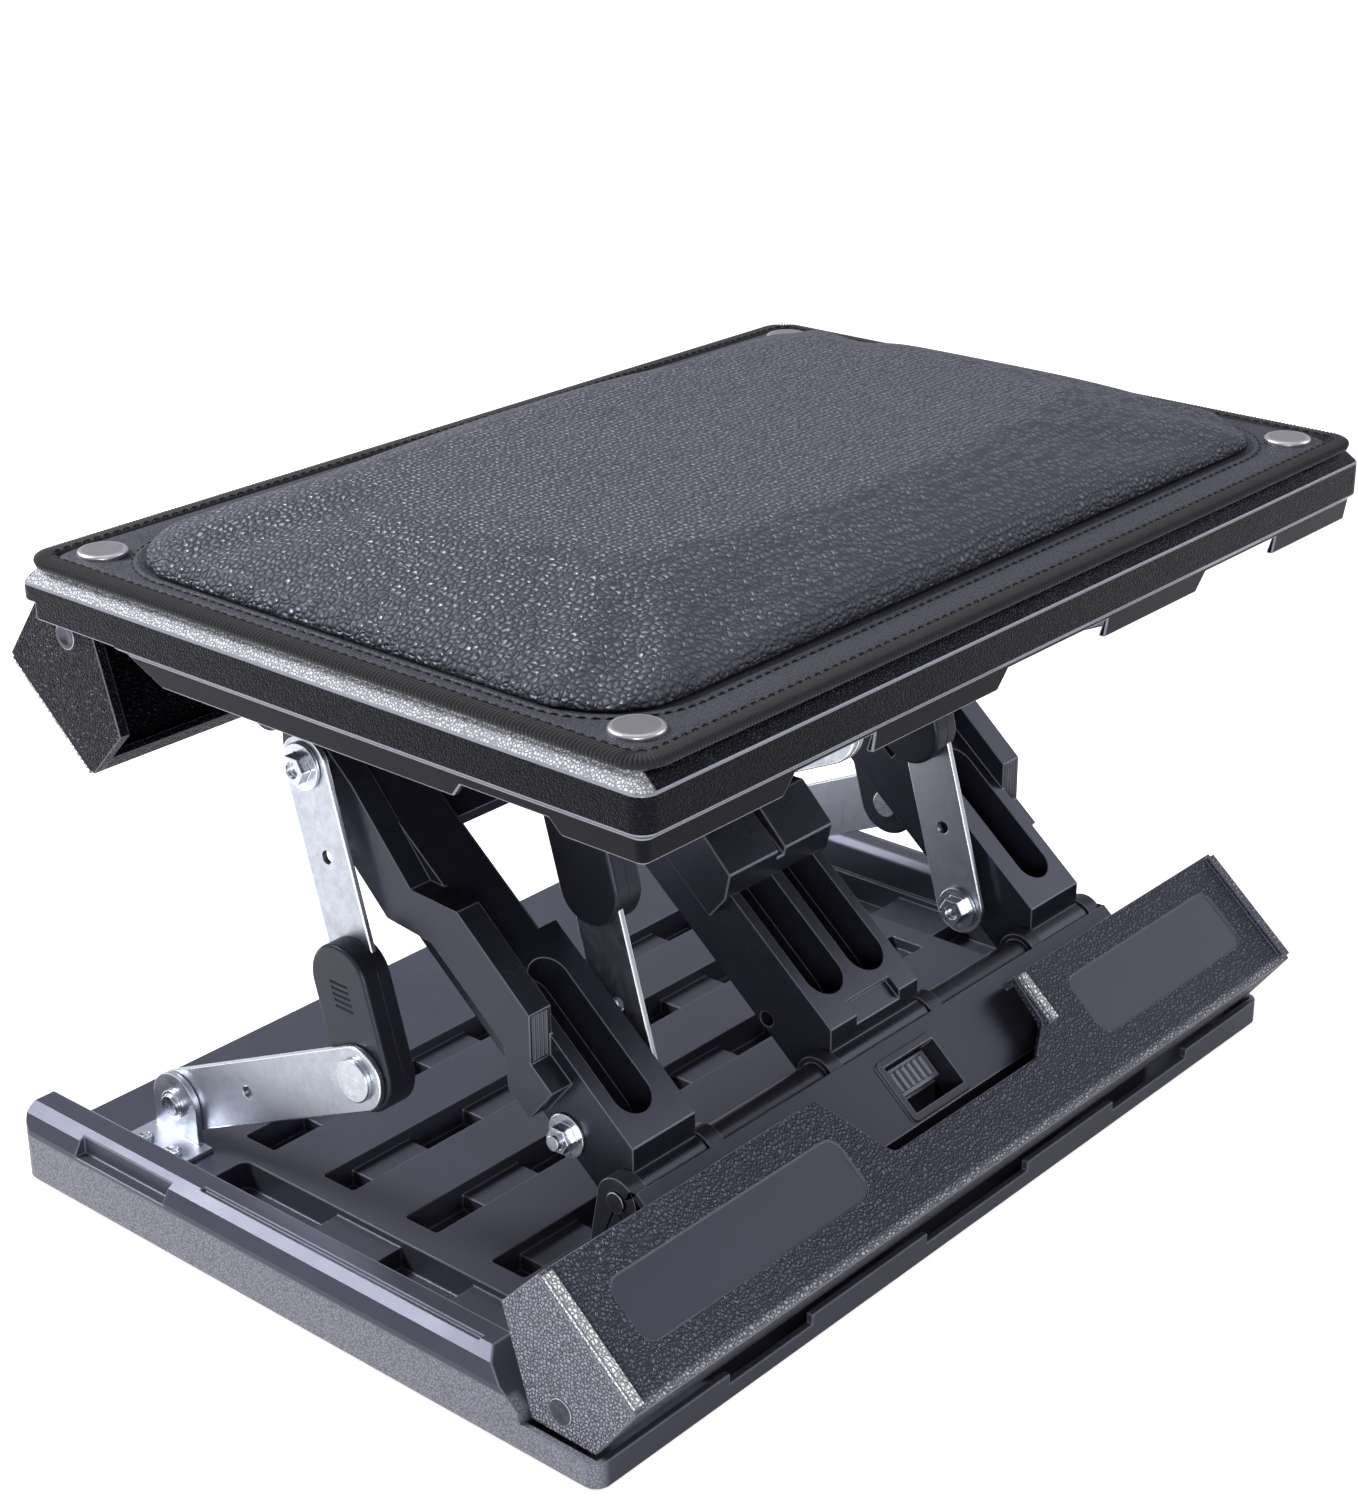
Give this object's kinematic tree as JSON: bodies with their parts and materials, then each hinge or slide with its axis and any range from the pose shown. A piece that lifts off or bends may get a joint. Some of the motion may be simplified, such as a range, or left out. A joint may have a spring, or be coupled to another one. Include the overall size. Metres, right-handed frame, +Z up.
{
  "type": "folding footrest",
  "caption": "Padded footrest on a leaning frame between two shallow shells, with ratchet linkages that let it fold down, rise and tilt.",
  "frame": {"origin": "on the floor under the middle of the base", "axes": "+X to the right along the long side, -Y to the front flap, +Z up"},
  "size_m": [0.42, 0.33, 0.2889],
  "materials": {
    "base_plastic": "moulded black ABS, satin deck, leather grain on the outer walls",
    "flap_plastic": "moulded black ABS with leather grain and smooth panels",
    "platform_plastic": "moulded black ABS, pebbled rim",
    "frame_plastic": "moulded black glass-filled nylon, satin",
    "carrier_plastic": "moulded black ABS, satin",
    "cover_plastic": "moulded black nylon, satin",
    "strip_rubber": "matt black rubber",
    "cushion_leather": "pebbled black synthetic leather over foam",
    "binding_fabric": "ribbed black binding tape",
    "snap_steel": "satin nickel",
    "zinc_steel": "zinc plated sheet",
    "pin_steel": "black oxide",
    "bright_steel": "bright zinc"
  },
  "bodies": {
    "base": {"base_shell": "base_plastic", "base_rubber_strips": "strip_rubber", "front_hinge_carrier": "carrier_plastic", "front_hinge_rod": "bright_steel", "front_flap_pins": "pin_steel", "lower_left_bracket": "zinc_steel", "lower_right_bracket": "zinc_steel", "lower_bracket_screws": "bright_steel", "lower_pivot_rivets": "bright_steel"},
    "front_flap": {"front_flap": "flap_plastic"},
    "front_latch": {"front_latch": "carrier_plastic"},
    "support_frame": {"support_frame": "frame_plastic", "centre_cap": "frame_plastic", "lower_frame_bolts": "bright_steel", "lower_bolt_spacers": "bright_steel", "lower_bolt_nuts": "bright_steel", "upper_frame_bolts": "bright_steel", "upper_bolt_spacers": "bright_steel", "upper_bolt_nuts": "bright_steel"},
    "lower_arms": {"lower_left_arm": "zinc_steel", "lower_left_ratchet_wheel": "bright_steel", "lower_right_arm": "zinc_steel", "lower_right_ratchet_wheel": "bright_steel", "lower_knee_rivets": "bright_steel"},
    "lower_struts": {"lower_left_strut": "zinc_steel", "lower_left_cover_inner": "cover_plastic", "lower_left_cover_outer": "cover_plastic", "lower_left_pawl": "bright_steel", "lower_right_strut": "zinc_steel", "lower_right_cover_inner": "cover_plastic", "lower_right_cover_outer": "cover_plastic", "lower_right_pawl": "bright_steel"},
    "upper_arms": {"upper_left_arm": "zinc_steel", "upper_left_ratchet_wheel": "bright_steel", "upper_right_arm": "zinc_steel", "upper_right_ratchet_wheel": "bright_steel", "upper_knee_rivets": "bright_steel"},
    "upper_struts": {"upper_left_strut": "zinc_steel", "upper_left_cover_inner": "cover_plastic", "upper_left_cover_outer": "cover_plastic", "upper_left_pawl": "bright_steel", "upper_right_strut": "zinc_steel", "upper_right_cover_inner": "cover_plastic", "upper_right_cover_outer": "cover_plastic", "upper_right_pawl": "bright_steel"},
    "platform": {"platform_shell": "platform_plastic", "rear_hinge_carrier": "carrier_plastic", "rear_hinge_rod": "bright_steel", "rear_flap_pins": "pin_steel", "upper_left_bracket": "zinc_steel", "upper_right_bracket": "zinc_steel", "upper_bracket_screws": "bright_steel", "upper_pivot_rivets": "bright_steel", "cushion": "cushion_leather", "cushion_binding": "binding_fabric", "snap_caps": "snap_steel", "snap_studs": "snap_steel"},
    "rear_flap": {"rear_flap": "flap_plastic"},
    "rear_latch": {"rear_latch": "carrier_plastic"}
  },
  "joints": [
    {"name": "frame_tilt", "type": "hinge", "parent": "base", "child": "support_frame", "pos_m": [0, -0.103, 0.061], "axis": [1, 0, 0], "range_deg": [-30, 5]},
    {"name": "platform_tilt", "type": "hinge", "parent": "support_frame", "child": "platform", "pos_m": [0, 0.065, 0.201], "axis": [1, 0, 0], "range_deg": [-5, 30]},
    {"name": "lower_arm_swing", "type": "hinge", "parent": "base", "child": "lower_arms", "pos_m": [0, 0.108, 0.031], "axis": [1, 0, 0], "range_deg": [-4.2, 24.3]},
    {"name": "lower_knee", "type": "hinge", "parent": "lower_arms", "child": "lower_struts", "pos_m": [0, 0.004, 0.079], "axis": [1, 0, 0], "range_deg": [-61, 10.3]},
    {"name": "upper_arm_swing", "type": "hinge", "parent": "platform", "child": "upper_arms", "pos_m": [0, -0.146, 0.231], "axis": [1, 0, 0], "range_deg": [-4.2, 24.3]},
    {"name": "upper_knee", "type": "hinge", "parent": "upper_arms", "child": "upper_struts", "pos_m": [0, -0.042, 0.183], "axis": [1, 0, 0], "range_deg": [-61, 10.3]},
    {"name": "front_flap_hinge", "type": "hinge", "parent": "base", "child": "front_flap", "pos_m": [0, -0.133, 0.0227], "axis": [1, 0, 0], "range_deg": [0, 18]},
    {"name": "rear_flap_hinge", "type": "hinge", "parent": "platform", "child": "rear_flap", "pos_m": [0, 0.095, 0.2393], "axis": [1, 0, 0], "range_deg": [0, 18]},
    {"name": "front_latch_slide", "type": "slide", "parent": "base", "child": "front_latch", "axis": [0, -0.757, -0.6534], "range_m": [0, 0.005], "stiffness_N_per_m": 300, "springref_m": -0.002},
    {"name": "rear_latch_slide", "type": "slide", "parent": "platform", "child": "rear_latch", "axis": [0, 0.757, 0.6534], "range_m": [0, 0.005], "stiffness_N_per_m": 300, "springref_m": -0.002}
  ],
  "couplings": [
    {"joint": "lower_arm_swing", "follows": "frame_tilt", "ratio": -0.802},
    {"joint": "lower_knee", "follows": "frame_tilt", "ratio": 2.027},
    {"joint": "upper_arm_swing", "follows": "platform_tilt", "ratio": 0.802},
    {"joint": "upper_knee", "follows": "platform_tilt", "ratio": -2.027}
  ]
}
